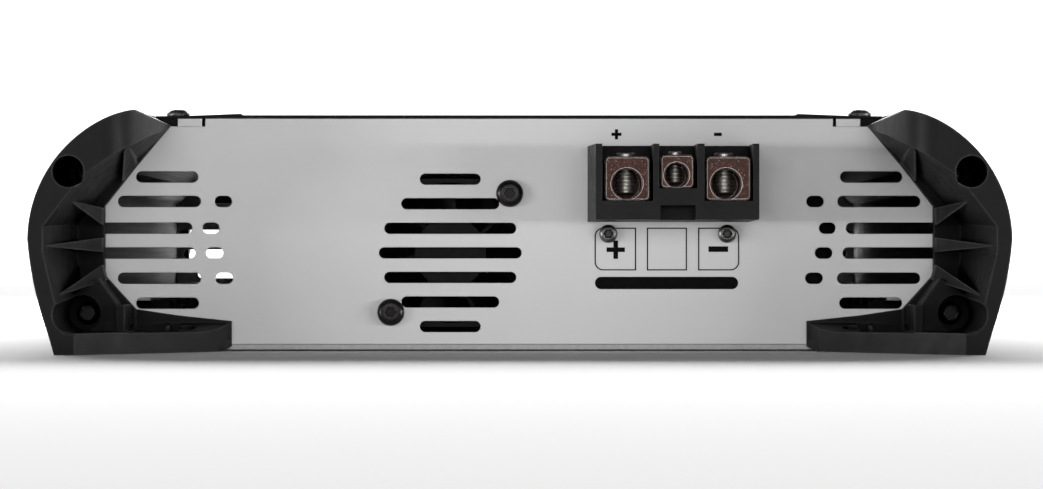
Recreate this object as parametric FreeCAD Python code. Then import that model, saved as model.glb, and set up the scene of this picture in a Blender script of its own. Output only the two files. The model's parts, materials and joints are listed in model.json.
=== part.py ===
"""Car amplifier: aluminium body between two finned heat sinks, with plastic corner guards.

Millimetres, +Z up.  X runs across the width, the power end faces -Y and the signal end +Y.
The origin is the centre of the bounding box's underside.
"""
import FreeCAD
import Part
import math
import os

V = FreeCAD.Vector

# ---- driving dimensions ------------------------------------------------------------
BODY_HALF = 140.0          # middle of the body to the outer face of an end panel
SHEET = 1.2                # end panels
GUARD_OUT = 45.0           # corner guard in front of the end panel
SLEEVE_IN = 23.0           # corner guard behind the end panel's outer face
GAP = 0.2                  # seam between pieces that are screwed together

# cross-section of the body, right half
WALL_X = 118.5             # outer face of the heat sink's upright wall
WALL_T = 3.3
SHOULDER_X = 97.8          # where the flat top turns down into the shoulder
TOP_Z = 62.6               # top of the heat sinks and of the end panels
SHOULDER_Z = 60.9
LEDGE_X = 86.0             # inner edge of the heat sinks under the cover
LEDGE_BACK = 3.0           # the ledge stops this far behind an end panel's tabs
FIN_COUNT = 9
FIN_PITCH = 5.1
FIN_Z0 = 8.0
FIN_HALF_T = 0.9
BASE_Z0 = 0.4              # underside of the base plate, just above the feet
BASE_Z1 = 1.8
BODY_Z0 = 1.85             # underside of the heat sinks and of the end panels
COVER_Z = 62.8

# outer face of the guards, seen from the end: apex, arc to the widest point, then inwards
APEX = (100.1, 63.7)
BULGE = (117.9, 53.2)
WIDEST = (127.1, 30.0)
FLANK = (125.3, 17.7)
HEEL = (121.9, 5.9)
TOE = (120.2, 0.0)

# vents beside the middle of each end panel: row height, outer end, inner end, oblong
VENT_W = 3.05
VENT_ROWS = [(46.9, 103.3, 86.5, None), (40.3, 108.2, 85.8, (82.1, 77.4)),
             (33.1, 114.6, 88.1, (85.4, 80.8)), (26.4, 113.0, 87.2, (84.5, 79.7)),
             (19.6, 108.2, 85.7, (81.9, 77.1)), (12.9, 103.3, 86.3, None)]

# fan and its grille
FAN_X = -18.6
FAN_Z = 26.45
FAN_SIZE = 40.0
FAN_DEEP = 20.0
FAN_PITCH = 32.0
FAN_BORE_R = 18.9
HUB_R = 9.6
SHAFT_R = 1.2
RUN_FIT = 0.05
GRILLE_PITCH = 6.62
GRILLE_LENGTHS = [16.4, 26.4, 35.6, 38.5, 35.6, 26.4, 16.4]
GRILLE_W = 3.0

# power terminal block
BLOCK_OUT = 26.0           # in front of the end panel
BLOCK_Z0 = 35.2
BLOCK_Z1 = 55.15
POWER_WALLS = [(20.0, 21.7), (35.1, 36.7), (46.7, 48.6), (61.4, 63.0)]
POWER_SKEW = (-1.6, -1.1)  # how far the foot of the block stands to the left of its face
# clamp: x0, x1, z0, z1, hole x, hole z, hole r, screw r
POWER_CLAMPS = {
    "positive": (22.4, 34.2, 40.2, 51.8, 28.2, 44.6, 3.9, 2.5),
    "remote": (37.1, 45.8, 43.5, 52.2, 41.3, 46.9, 3.1, 1.9),
    "negative": (49.0, 60.8, 40.2, 51.8, 54.3, 44.6, 3.9, 2.5),
}
SPEAKER_WALLS = [(-62.0, -60.3), (-46.9, -45.1), (-31.7, -30.0)]
SPEAKER_CLAMPS = {
    "speaker_positive": (-59.5, -47.7, 40.2, 51.8, -53.6, 44.6, 3.9, 2.5),
    "speaker_negative": (-44.3, -32.5, 40.2, 51.8, -38.4, 44.6, 3.9, 2.5),
}
CLAMP_BACK = 8.0           # rear face of a clamp in front of the panel
SCREW_OUT = 14.5           # set screw axis in front of the panel
SCREW_TOP = 1.2            # set screw above its clamp
SCREW_DOWN = 0.5           # travel left below the set screw's rest position
SCREW_CLEAR = 0.1          # set screw above the bottom of the wire hole when it is right down
CLAMP_CHAMFER = 0.35
TAIL_IN = 34.0             # clamp's current bar behind the end panel

# mounting slots in the feet
FOOT_Z = 5.4
SLOT_X = 91.0
SLOT_OUT = 6.6
SLOT_LEN = 9.0
SLOT_R = 2.3

# guard screws
GUARD_SCREWS = [(115.9, 47.5), (115.4, 10.4)]
GUARD_SCREW_R = 2.0
GUARD_HEAD_R = 3.1
WELLS = [(116.6, 47.4, 4.05), (115.8, 10.4, 4.8)]

# circuit board
BOARD_Z0 = 9.0
BOARD_T = 1.6
BOARD_X = 95.0
BOARD_Y = (-112.0, 124.0)

# signal end
KNOB_XS = {"gain_knob": -4.0, "lowpass_knob": -21.0, "subsonic_knob": -38.0, "bass_knob": -55.0}
KNOB_Z = 20.0
KNOB_R = 5.0
RCA_XS = (44.0, 60.0)
RCA_ZS = (19.0, 37.0)
RCA_R = 4.15
SWITCH_X = 14.0
SWITCH_TRAVEL = 4.0
LED_XS = (-16.0, -6.0)
LED_Z = 44.0

# screws
COVER_SCREW_X = 92.6
COVER_SCREW_YS = (-131.0, -44.0, 44.0, 131.0)
BASE_SCREW_X = 104.0
BASE_SCREW_YS = (-128.0, -36.0, 36.0, 128.0)
TERMINAL_SCREW_XS = (24.0, 56.0)
TERMINAL_SCREW_Z = 31.6

# transistors and the bars that clamp them to the heat sinks
SHELF_X = 96.4
SHELF_Z = 8.5
TRANSISTOR_YS = [-96.0 + 24.0 * i for i in range(9)]
CLAMP_SCREW_YS = [y + 12.0 for y in TRANSISTOR_YS[:-1]]
CLAMP_X = 106.0


# ---- helpers -----------------------------------------------------------------------
def box(x0, x1, y0, y1, z0, z1):
    return Part.makeBox(x1 - x0, y1 - y0, z1 - z0, V(x0, y0, z0))


def rod_y(radius, x, z, y0, y1):
    return Part.makeCylinder(radius, y1 - y0, V(x, y0, z), V(0, 1, 0))


def rod_z(radius, x, y, z0, z1):
    return Part.makeCylinder(radius, z1 - z0, V(x, y, z0), V(0, 0, 1))


def prism_y(points, y0, y1):
    """A polygon of (x, z) points, drawn out from y0 to y1."""
    wire = Part.makePolygon([V(x, y0, z) for x, z in points + points[:1]])
    return Part.Face(wire).extrude(V(0, y1 - y0, 0))


def prism_z(points, z0, z1):
    """A polygon of (x, y) points, drawn up from z0 to z1."""
    wire = Part.makePolygon([V(x, y, z0) for x, y in points + points[:1]])
    return Part.Face(wire).extrude(V(0, 0, z1 - z0))


def slot_y(x_a, x_b, z, width, y0, y1):
    """A slot along X with full-round ends, cut along Y."""
    low, high = sorted((x_a, x_b))
    r = width / 2
    middle = box(low + r, high - r, y0, y1, z - r, z + r)
    return middle.fuse([rod_y(r, low + r, z, y0, y1), rod_y(r, high - r, z, y0, y1)])


def flip_x(shape):
    return shape.mirror(V(0, 0, 0), V(1, 0, 0))


def flip_y(shape):
    return shape.mirror(V(0, 0, 0), V(0, 1, 0))


def both_sides(shapes):
    return shapes + [flip_x(s) for s in shapes]


def four_corners(shapes):
    sides = both_sides(shapes)
    return sides + [flip_y(s) for s in sides]


def group(shapes):
    return Part.makeCompound(shapes)


def guard_outline(y, inner):
    """Closed face in the plane of y: the guard's curved outside, closed by the inner points."""
    def at(point):
        return V(point[0], y, point[1])
    edges = [Part.Arc(at(APEX), at(BULGE), at(WIDEST)).toShape(),
             Part.Arc(at(WIDEST), at(FLANK), at(HEEL)).toShape(),
             Part.LineSegment(at(HEEL), at(TOE)).toShape()]
    path = [TOE] + inner + [APEX]
    for a, b in zip(path, path[1:]):
        edges.append(Part.LineSegment(at(a), at(b)).toShape())
    return Part.Face(Part.Wire(edges))


def machine_screw(head_r, head_h, shank_r, shank_l, hex_r):
    """Button-headed screw along Z: the shank goes down from the origin."""
    head = Part.makeCylinder(head_r, head_h)
    head = head.makeFillet(head_h * 0.7, [head.Edges[0]])
    socket = Part.makePolygon([V(hex_r * math.cos(math.radians(60 * i)),
                                 hex_r * math.sin(math.radians(60 * i)), head_h * 0.35)
                               for i in range(7)])
    head = head.cut(Part.Face(socket).extrude(V(0, 0, head_h)))
    shank = Part.makeCylinder(shank_r, shank_l + 0.01, V(0, 0, -shank_l))
    return head.fuse(shank)


def placed(shape, pos, axis):
    """A copy of the shape with its +Z turned to the axis and its origin at pos."""
    copy = shape.copy()
    copy.Placement = FreeCAD.Placement(V(*pos), FreeCAD.Rotation(V(0, 0, 1), V(*axis)))
    return copy


# ---- body section ------------------------------------------------------------------
def section_outline(top):
    """Right half of the body's outside, from the shoulder round to the base plate."""
    return [(SHOULDER_X, top), (SHOULDER_X, SHOULDER_Z), (116.0, 53.0), (WALL_X, 50.0),
            (WALL_X, 6.5), (115.0, BODY_Z0)]


def heat_sink():
    """Right heat sink: a walled channel with screw bosses, shelves and outside fins."""
    end = BODY_HALF - SHEET - GAP
    outside = [(LEDGE_X, TOP_Z)] + section_outline(TOP_Z) + [(SHELF_X, BODY_Z0)]
    inside = [(LEDGE_X, 57.4), (97.0, 56.4), (113.6, 49.4), (WALL_X - WALL_T, 47.4),
              (WALL_X - WALL_T, SHELF_Z), (SHELF_X, SHELF_Z)]
    wall = prism_y(outside + inside[::-1], -end, end)
    for x, z in GUARD_SCREWS:
        boss = rod_y(4.2, x, z, -end, end)
        trim = prism_y(outside + [(SHELF_X, 30.0), (LEDGE_X, 30.0)], -end, end)
        wall = wall.fuse(boss.common(trim))
    for y in (-end, end - LEDGE_BACK):
        wall = wall.cut(box(LEDGE_X - 1, SHOULDER_X, y, y + LEDGE_BACK, 56.0, TOP_Z + 1))
    for x, z in GUARD_SCREWS:
        for side in (-1, 1):
            y = side * end
            deep = y - side * 18
            wall = wall.cut(rod_y(GUARD_SCREW_R + 0.02, x, z, min(y, deep), max(y, deep)))
    wall = wall.cut([rod_z(1.52, COVER_SCREW_X, y, 56.0, 64.0) for y in COVER_SCREW_YS])
    wall = wall.cut([rod_z(1.52, BASE_SCREW_X, y, 0.0, 6.6) for y in BASE_SCREW_YS])
    wall = wall.cut([rod_z(1.42, CLAMP_X, y, 4.0, 10.0) for y in CLAMP_SCREW_YS])
    fins = []
    fin_end = BODY_HALF - SLEEVE_IN - 0.5
    envelope = guard_outline(-fin_end, [(110.0, 0.0), (110.0, 55.0)])
    envelope = envelope.extrude(V(0, 2 * fin_end, 0))
    envelope.translate(V(-0.8, 0, 0))
    for i in range(FIN_COUNT):
        z = FIN_Z0 + i * FIN_PITCH
        fin = box(WALL_X - 0.5, 130.0, -fin_end, fin_end, z - FIN_HALF_T, z + FIN_HALF_T)
        fins.append(fin.common(envelope))
    fins.append(shoulder_fins(fin_end))
    return wall.fuse(fins).removeSplitter()


def shoulder_fins(fin_end):
    """Upright fins on the sloping shoulder above the side fins."""
    fins = []
    for i in range(3):
        x = 101.5 + 4.6 * i
        fins.append(box(x - FIN_HALF_T, x + FIN_HALF_T, -fin_end, fin_end, 54.0, 64.0))
    slope = prism_y([(97.8, 60.6), (97.8, 66.0), (118.0, 66.0), (118.0, 51.9), (116.0, 52.7)],
                    -fin_end, fin_end)
    wide = guard_outline(-fin_end, [(90.0, 0.0), (90.0, 62.0)]).extrude(V(0, 2 * fin_end, 0))
    wide.translate(V(0, 0, -1.0))
    solid = fins[0].fuse(fins[1:])
    return solid.common(slope).common(wide)


def end_panel_blank():
    """End panel facing -Y with both sets of side vents, the cover tabs and guard screw holes."""
    y0 = -BODY_HALF
    y1 = y0 + SHEET
    half = [(SHOULDER_X, SHOULDER_Z - 0.4)] + section_outline(0)[2:]
    outline = half + [(-x, z) for x, z in half[::-1]]
    plate = prism_y(outline, y0, y1)
    crown = box(-84.6, 84.6, y0, y1, 55.0, TOP_Z)
    tab_up = box(85.5, 92.0, y0 + 0.25, y1, 55.0, TOP_Z)
    solid = plate.fuse([crown, tab_up, flip_x(tab_up)])
    cuts = []
    for z, outer, inner, oblong in VENT_ROWS:
        cuts.append(slot_y(inner, outer, z, VENT_W, y0 - 1, y1 + 1))
        if oblong:
            cuts.append(slot_y(oblong[0], oblong[1], z, VENT_W, y0 - 1, y1 + 1))
    for x, z in GUARD_SCREWS:
        cuts.append(rod_y(GUARD_SCREW_R + 0.15, x, z, y0 - 1, y1 + 1))
    return solid.cut(both_sides(cuts)).removeSplitter()


def power_end_panel():
    y0 = -BODY_HALF
    cuts = []
    for i, length in enumerate(GRILLE_LENGTHS):
        z = FAN_Z + (3 - i) * GRILLE_PITCH
        cuts.append(slot_y(FAN_X - length / 2, FAN_X + length / 2, z, GRILLE_W, y0 - 1, y0 + 3))
    for side in (-1, 1):
        cuts.append(rod_y(1.75, FAN_X + side * FAN_PITCH / 2, FAN_Z + side * FAN_PITCH / 2,
                          y0 - 1, y0 + 3))
    cuts.append(box(22.7, 60.3, y0 - 1, y0 + 3, 37.7, 53.3))
    for x in TERMINAL_SCREW_XS:
        cuts.append(rod_y(1.5, x, TERMINAL_SCREW_Z, y0 - 1, y0 + 3))
    return end_panel_blank().cut(cuts)


def signal_end_panel():
    y0 = -BODY_HALF
    cuts = [box(32.7, 59.3, y0 - 1, y0 + 3, 37.7, 53.3)]
    for x in KNOB_XS.values():
        cuts.append(rod_y(3.6, -x, KNOB_Z, y0 - 1, y0 + 3))
    for x in RCA_XS:
        for z in RCA_ZS:
            cuts.append(rod_y(5.6, -x, z, y0 - 1, y0 + 3))
    cuts.append(box(-SWITCH_X - 4.2, -SWITCH_X + 4.2, y0 - 1, y0 + 3, KNOB_Z - 2.2, KNOB_Z + 2.2))
    cuts.append(box(-SWITCH_X - 7.2, -SWITCH_X + 7.2, y0 - 1, y0 + 3, 37.0, 50.4))
    for x in LED_XS:
        cuts.append(rod_y(1.65, -x, LED_Z, y0 - 1, y0 + 3))
    blank = end_panel_blank().cut(cuts)
    blank.rotate(V(0, 0, 0), V(0, 0, 1), 180)
    return blank


def base_plate():
    """Folded tray bottom with screw holes along both edges."""
    plate = box(-114.8, 114.8, -BODY_HALF - 0.15, BODY_HALF + 0.15, BASE_Z0, BASE_Z1)
    holes = [rod_z(1.8, BASE_SCREW_X, y, 0, 3) for y in BASE_SCREW_YS]
    return plate.cut(both_sides(holes))


def top_cover():
    """Thin cover with a raised band along each side and a tongue behind each end panel tab."""
    band = [(74.6, 63.55), (75.0, 63.95), (90.0, 63.35), (97.9, 63.3)]
    outline = [(-x, z) for x, z in band[::-1]] + band + [(97.9, COVER_Z), (-97.9, COVER_Z)]
    cover = prism_y(outline, -BODY_HALF, BODY_HALF)
    y0 = -BODY_HALF + SHEET + 0.3
    tongue = box(LEDGE_X + 0.5, SHOULDER_X - 0.8, y0, y0 + 1.2, 57.8, COVER_Z + 0.2)
    cover = cover.fuse(four_corners([tongue]))
    holes = [rod_z(1.75, COVER_SCREW_X, y, 60, 66) for y in COVER_SCREW_YS]
    return cover.cut(both_sides(holes))


# ---- corner guard ------------------------------------------------------------------
POCKET_FLOOR = 3.4         # floor of the pocket in front of the end panel
RIB_BASE = 9.0             # a rib's low end in front of the end panel
# rib: tip (x, z, distance in front of the panel), half-width of the tip, two base corners
RIBS = [((102.1, 53.5, 40.0), 1.0, (102.5, 50.4), (106.2, 45.7)),
        ((117.1, 39.8, 32.5), 0.2, (111.5, 38.5), (111.5, 33.9)),
        ((122.7, 28.2, 41.0), 0.2, (111.5, 30.5), (111.5, 26.7)),
        ((120.0, 15.4, 36.5), 0.2, (111.5, 23.2), (110.5, 19.2))]
# outlines of the pocket at the band and at its floor, from the top corner round to the foot
POCKET_MOUTH = [(90.0, 64.9), (93.7, 61.6), (99.6, 55.3), (104.5, 52.2), (112.0, 46.8),
                (116.5, 41.8), (123.1, 33.1), (123.1, 26.7), (120.4, 15.3), (117.7, 5.6), (90.0, 5.6)]
POCKET_BOTTOM = [(90.0, 62.0), (93.8, 59.5), (98.6, 55.2), (102.6, 51.3), (108.3, 45.8),
                 (112.6, 41.4), (118.6, 34.2), (118.6, 25.6), (117.2, 15.0), (115.5, 5.8), (90.0, 5.8)]


def spike_rib(tip, half_width, base_a, base_b):
    """A rib with a flat sloping front: narrow at the band, wide and low at the body."""
    floor = -BODY_HALF - POCKET_FLOOR + 0.4
    low = -BODY_HALF - RIB_BASE
    across = V(base_a[0] - base_b[0], 0, base_a[1] - base_b[1]).normalize().multiply(half_width)
    middle = V(tip[0], -BODY_HALF - tip[2], tip[1])
    tip_a = middle.add(across)
    tip_b = middle.sub(across)
    deep_a = V(tip_a.x + 1.0, floor, tip_a.z)
    deep_b = V(tip_b.x + 1.0, floor, tip_b.z)
    a = V(base_a[0], low, base_a[1])
    b = V(base_b[0], low, base_b[1])
    foot_a = V(base_a[0], floor, base_a[1])
    foot_b = V(base_b[0], floor, base_b[1])
    faces = []
    for corners in ((tip_a, a, b), (tip_a, b, tip_b), (tip_a, deep_a, foot_a), (tip_a, foot_a, a),
                    (tip_b, b, foot_b), (tip_b, foot_b, deep_b), (a, foot_a, foot_b), (a, foot_b, b),
                    (deep_a, foot_b, foot_a), (deep_a, deep_b, foot_b), (tip_a, tip_b, deep_b),
                    (tip_a, deep_b, deep_a)):
        faces.append(Part.Face(Part.makePolygon(list(corners) + [corners[0]])))
    solid = Part.Solid(Part.Shell(faces))
    if solid.Volume < 0:
        solid.reverse()
    return solid


NOSE_X = 77.4              # inner end of a foot
NOSE_R = 7.0
FOOT_CORNER = (80.3, 7.3)  # where the foot's slanting front meets its nose: x, distance out
FOOT_TOE_X = 115.0         # where the slanting front starts at the outer corner
NOSE_TOP = [(NOSE_X, 8.1), (91.7, 9.6), (103.1, 11.3), (106.0, 11.3)]
# plan of the guard's top corner: x, distance in front of the end panel
BROW = [(108.0, 45.0), (103.2, 42.6), (99.4, 35.0), (96.4, 21.0), (93.7, 2.0)]


def guard_foot():
    """Foot plate: its front edge slants back from the outer corner to a rounded nose."""
    y0 = -BODY_HALF
    corner_x, corner_out = FOOT_CORNER
    plan = [(118.9, y0 - GAP), (118.9, y0 - GUARD_OUT), (FOOT_TOE_X, y0 - GUARD_OUT),
            (corner_x, y0 - corner_out), (NOSE_X, y0 - GAP)]
    plate = prism_z(plan, 0.0, FOOT_Z)
    plate = plate.makeFillet(NOSE_R, upright_edges(plate, corner_x))
    under = prism_y([(NOSE_X - 1, -1.0), (NOSE_X + 2.6, -0.01), (NOSE_X - 0.01, 1.3)], y0 - 20.0, y0)
    ramp = prism_y([(NOSE_X, 0)] + NOSE_TOP + [(106.0, 0)], y0 - 13.0, y0 - GAP)
    slope = Part.makePolygon([V(70, y0 - 12.0, FOOT_Z - 0.3), V(70, y0 - GAP, 8.0),
                              V(70, y0 - GAP, 14.0), V(70, y0 - 20.0, 14.0),
                              V(70, y0 - 20.0, FOOT_Z - 0.3), V(70, y0 - 12.0, FOOT_Z - 0.3)])
    ramp = ramp.cut(Part.Face(slope).extrude(V(50, 0, 0)))
    wall = prism_y([(NOSE_X, 3.0)] + NOSE_TOP + [(106.0, 3.0)], y0 - 1.8, y0 - GAP)
    reach = prism_z(plan, 0.0, 20.0)
    pocket = box(94.8, 103.2, y0 - 12.0, y0 - 1.9, FOOT_Z, 20.0)
    notch = box(90.9, 93.7, y0 - 12.0, y0 - 1.9, FOOT_Z, 20.0)
    return plate.fuse([ramp.common(reach).cut([pocket, notch]), wall]).cut(under)


def upright_edges(shape, x):
    """Edges parallel to Z whose x is the one given."""
    found = []
    for edge in shape.Edges:
        a, b = edge.Vertexes[0].Point, edge.Vertexes[-1].Point
        if abs(a.x - x) < 0.01 and abs(b.x - x) < 0.01 and abs(a.y - b.y) < 0.01:
            found.append(edge)
    return found


def brow():
    """Space in front of the guard's top corner, where its front curves back to the end panel."""
    plan = [V(x, -BODY_HALF - out, -1.0) for x, out in BROW]
    curve = Part.BSplineCurve()
    curve.interpolate(plan)
    rest = [plan[-1], V(90.0, plan[-1].y, -1.0), V(90.0, plan[0].y - 1, -1.0),
            V(plan[0].x, plan[0].y - 1, -1.0), plan[0]]
    wire = Part.Wire([curve.toShape()] + Part.makePolygon(rest).Edges)
    return Part.Face(wire).extrude(V(0, 0, 71.0))


def foot_front():
    """Space in front of the foot's slanting front edge."""
    tip = -BODY_HALF - GUARD_OUT
    x, out = FOOT_CORNER
    return prism_z([(FOOT_TOE_X, tip - 1), (FOOT_TOE_X, tip), (x, -BODY_HALF - out), (x, tip - 1)],
                   -1.0, FOOT_Z + 0.3)


def corner_guard():
    """Front right guard: curved band, drafted pocket with spike ribs, screw wells and foot."""
    y0 = -BODY_HALF
    tip = y0 - GUARD_OUT
    inner_edge = [(103.1, 0.0), (103.1, 11.3), (111.4, 20.5), (111.4, 39.0), (102.4, 50.4),
                  (93.7, 60.7)]
    bumper = guard_outline(tip, inner_edge).extrude(V(0, GUARD_OUT - GAP, 0))
    bumper = bumper.cut([brow(), foot_front()])
    wires = []
    for outline, y in ((POCKET_MOUTH, tip - 0.01), (POCKET_BOTTOM, y0 - POCKET_FLOOR)):
        wires.append(Part.makePolygon([V(x, y, z) for x, z in outline + outline[:1]]))
    bumper = bumper.cut(Part.makeLoft(wires, True, True))
    sleeve_line = [(118.8, 0.0), (118.8, 50.15), (116.15, 53.25), (98.1, 61.2), (98.1, 63.2)]
    sleeve = guard_outline(y0 - GAP, sleeve_line).extrude(V(0, SLEEVE_IN + GAP, 0))
    well_wall = prism_y([(119.4, 14.6), (111.5, 19.6), (106.8, 13.0), (106.8, 4.0), (118.6, 4.0)],
                        y0 - 17.0, y0 - GAP)
    web = box(104.4, 106.6, y0 - 20.0, y0 - GAP, 4.0, 12.6)
    ribs = [spike_rib(*rib) for rib in RIBS]
    guard = bumper.fuse([sleeve, well_wall, web, guard_foot()] + ribs)
    cuts = [rod_y(r, x, z, tip - 1, y0 - 6.0) for x, z, r in WELLS]
    cuts += [rod_y(GUARD_SCREW_R + 0.15, x, z, y0 - 7, y0 + 1) for x, z in GUARD_SCREWS]
    for side in (-1, 1):
        cuts.append(rod_z(SLOT_R, SLOT_X + side * (SLOT_LEN / 2 - SLOT_R), y0 - SLOT_OUT, -1, 20))
    cuts.append(box(SLOT_X - SLOT_LEN / 2 + SLOT_R, SLOT_X + SLOT_LEN / 2 - SLOT_R,
                    y0 - SLOT_OUT - SLOT_R, y0 - SLOT_OUT + SLOT_R, -1, 20))
    return guard.cut(cuts).removeSplitter()


def guard_screws():
    screw = machine_screw(GUARD_HEAD_R, 3.0, GUARD_SCREW_R, 18.0, 1.9)
    screws = [placed(screw, (x, -BODY_HALF - 6.0, z), (0, -1, 0)) for x, z in GUARD_SCREWS]
    return group(four_corners(screws))


def cover_screws():
    screw = machine_screw(3.1, 2.0, 1.5, 5.0, 1.3)
    screws = [placed(screw, (COVER_SCREW_X, y, 63.36), (0, 0, 1)) for y in COVER_SCREW_YS]
    return group(both_sides(screws))


def base_screws():
    """Low-headed screws from below, into the heat sinks' lower shelves."""
    shank = Part.makeCylinder(1.5, 6.0, V(0, 0, 0.3))
    head = Part.makeCylinder(2.8, 0.3, V(0, 0, 0.08))
    screw = shank.fuse(head)
    screws = [placed(screw, (BASE_SCREW_X, y, 0), (0, 0, 1)) for y in BASE_SCREW_YS]
    return group(both_sides(screws))


# ---- fan ---------------------------------------------------------------------------
FAN_Y0 = -BODY_HALF + SHEET + 0.1
FAN_Y1 = FAN_Y0 + FAN_DEEP
TUBE_R = 3.2
BLADES = 7
BLADE_HALF_T = 0.55
BLADE_TIP_R = FAN_BORE_R - 0.7


def fan_frame():
    half = FAN_SIZE / 2
    frame = box(FAN_X - half, FAN_X + half, FAN_Y0, FAN_Y1, FAN_Z - half, FAN_Z + half)
    frame = frame.makeFillet(2.0, [e for e in frame.Edges if abs(e.Length - FAN_DEEP) < 0.01])
    frame = frame.cut(rod_y(FAN_BORE_R, FAN_X, FAN_Z, FAN_Y0 - 1, FAN_Y1 + 1))
    waist = rod_y(40, FAN_X, FAN_Z, FAN_Y0 + 3, FAN_Y1 - 3).cut(
        rod_y(FAN_BORE_R + 1.2, FAN_X, FAN_Z, FAN_Y0 + 3, FAN_Y1 - 3))
    frame = frame.cut(waist)
    spider = rod_y(HUB_R - 0.4, FAN_X, FAN_Z, FAN_Y1 - 2.5, FAN_Y1)
    for i in range(4):
        arm = box(FAN_X, FAN_X + FAN_BORE_R + 0.6, FAN_Y1 - 2.5, FAN_Y1, FAN_Z - 1.1, FAN_Z + 1.1)
        arm.rotate(V(FAN_X, 0, FAN_Z), V(0, 1, 0), 20 + 90 * i)
        spider = spider.fuse(arm)
    tube = rod_y(TUBE_R, FAN_X, FAN_Z, FAN_Y0 + 7.0, FAN_Y1 - 2.0)
    frame = frame.fuse([spider, tube])
    frame = frame.cut(rod_y(2.2, FAN_X, FAN_Z, FAN_Y0 + 6.0, FAN_Y1 - 1.0))
    holes = []
    for sx in (-1, 1):
        for sz in (-1, 1):
            holes.append(rod_y(1.5, FAN_X + sx * FAN_PITCH / 2, FAN_Z + sz * FAN_PITCH / 2,
                               FAN_Y0 - 1, FAN_Y1 + 1))
    return frame.cut(holes).removeSplitter()


def fan_bearing():
    """Bronze sleeve in the frame's tube."""
    sleeve = rod_y(2.2, FAN_X, FAN_Z, FAN_Y0 + 7.2, FAN_Y1 - 2.2)
    return sleeve.cut(rod_y(SHAFT_R + RUN_FIT, FAN_X, FAN_Z, FAN_Y0 + 6, FAN_Y1))


def fan_stator():
    """Laminated stator with four coil lobes, pressed on the tube."""
    core = rod_y(4.6, FAN_X, FAN_Z, FAN_Y0 + 8.5, FAN_Y1 - 4.2)
    for i in range(4):
        lobe = rod_y(2.4, FAN_X + 5.4, FAN_Z, FAN_Y0 + 8.5, FAN_Y1 - 4.2)
        lobe.rotate(V(FAN_X, 0, FAN_Z), V(0, 1, 0), 45 + 90 * i)
        core = core.fuse(lobe)
    return core.cut(rod_y(TUBE_R + 0.02, FAN_X, FAN_Z, FAN_Y0, FAN_Y1))


def fan_rotor():
    """Hub cup, shaft and seven twisted blades."""
    y0 = FAN_Y0 + 1.2
    cup = rod_y(HUB_R, FAN_X, FAN_Z, y0, FAN_Y1 - 3.4)
    cup = cup.cut(rod_y(HUB_R - 1.3, FAN_X, FAN_Z, y0 + 2.0, FAN_Y1))
    shaft = rod_y(SHAFT_R, FAN_X, FAN_Z, y0 + 1.0, FAN_Y1 - 3.2)
    mid = (y0 + FAN_Y1 - 4.0) / 2
    blades = []
    for i in range(BLADES):
        wires = []
        for radius, chord, pitch in ((HUB_R - 0.6, 12.5, 48.0), (BLADE_TIP_R, 15.0, 62.0)):
            run = chord / 2 * math.cos(math.radians(pitch))
            rise = chord * 0.36 * math.sin(math.radians(pitch))
            corners = [V(FAN_X + radius, mid - run, FAN_Z - rise - BLADE_HALF_T),
                       V(FAN_X + radius, mid + run, FAN_Z + rise - BLADE_HALF_T),
                       V(FAN_X + radius, mid + run, FAN_Z + rise + BLADE_HALF_T),
                       V(FAN_X + radius, mid - run, FAN_Z - rise + BLADE_HALF_T)]
            wires.append(Part.makePolygon(corners + corners[:1]))
        blade = Part.makeLoft(wires, True, True)
        blade.rotate(V(FAN_X, 0, FAN_Z), V(0, 1, 0), 360.0 / BLADES * i)
        blades.append(blade)
    sweep = rod_y(BLADE_TIP_R, FAN_X, FAN_Z, y0 + 0.2, FAN_Y1 - 4.0)
    sweep = sweep.cut(rod_y(HUB_R - 0.9, FAN_X, FAN_Z, y0, FAN_Y1))
    fan = blades[0].fuse(blades[1:]).common(sweep)
    return cup.fuse([shaft, fan]).removeSplitter()


def fan_screws():
    screw = machine_screw(3.65, 2.3, 1.48, 12.0, 1.6)
    screws = []
    for side in (-1, 1):
        screws.append(placed(screw, (FAN_X + side * FAN_PITCH / 2, -BODY_HALF - 0.02,
                                     FAN_Z + side * FAN_PITCH / 2), (0, -1, 0)))
    return group(screws)


# ---- terminal blocks ---------------------------------------------------------------
def terminal_housing(walls, clamps, skew, recess):
    """Barrier block facing -Y: open chambers over a seat, with a wall between neighbours."""
    y0 = -BODY_HALF - 0.05
    front = -BODY_HALF - BLOCK_OUT
    x0, x1 = walls[0][0], walls[-1][1]
    wires = []
    for y, left, right, low in ((y0, x0 + skew[0], x1 + skew[1], BLOCK_Z0 - 0.4),
                                (front, x0, x1, BLOCK_Z0)):
        corners = [V(left, y, low), V(right, y, low), V(right, y, BLOCK_Z1), V(left, y, BLOCK_Z1)]
        wires.append(Part.makePolygon(corners + corners[:1]))
    body = Part.makeLoft(wires, True, True)
    plug = box(x0 + 3.0, x1 - 3.0, y0, -BODY_HALF + 5.0, 38.0, 53.0)
    body = body.fuse(plug)
    back = y0 - CLAMP_BACK + 3.0
    for (_, a), (b, _), clamp in zip(walls, walls[1:], clamps.values()):
        body = body.cut(box(a, b, front - 1, back, clamp[2] - 0.1, BLOCK_Z1 + 1))
        tail = clamp_tail(clamp, 0.1)
        body = body.cut(tail)
    if recess:
        body = body.cut(box(recess[0], recess[1], front - 1, front + 5.0, BLOCK_Z0 - 1, 38.9))
    return body.removeSplitter()


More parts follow.
